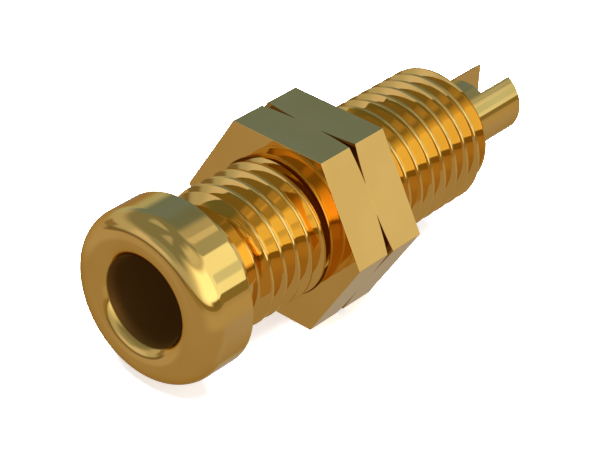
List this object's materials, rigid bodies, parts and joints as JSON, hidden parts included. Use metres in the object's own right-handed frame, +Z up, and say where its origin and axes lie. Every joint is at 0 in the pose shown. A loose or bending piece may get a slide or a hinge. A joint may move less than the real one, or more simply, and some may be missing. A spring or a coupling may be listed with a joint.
{
  "type": "banana socket",
  "caption": "Panel socket for a 4 mm plug: gold-plated turned body with a rounded head, plain plug bore, threaded shank and slotted solder tail, held by thin hexagon nuts.",
  "frame": {"origin": "on the socket's axis, in the flat rear face of the head, which seats on the panel", "axes": "+Y along the axis from the plug's side to the solder tail; +Z up, square to the flats of the nuts that the part lies on; +X to the right seen from the plug's side"},
  "size_m": [0.0102, 0.0249, 0.0088],
  "materials": {
    "gold_plated_brass": "polished gold plating"
  },
  "bodies": {
    "socket": {"socket_body": "gold_plated_brass"},
    "front_nut": {"front_nut": "gold_plated_brass"},
    "rear_nut": {"rear_nut": "gold_plated_brass"}
  },
  "joints": [
    {"name": "front_nut_travel", "type": "slide", "parent": "socket", "child": "front_nut", "axis": [0, 1, 0], "range_m": [-0.0057, 0]},
    {"name": "rear_nut_travel", "type": "slide", "parent": "socket", "child": "rear_nut", "axis": [0, 1, 0], "range_m": [0, 0.0073]}
  ]
}
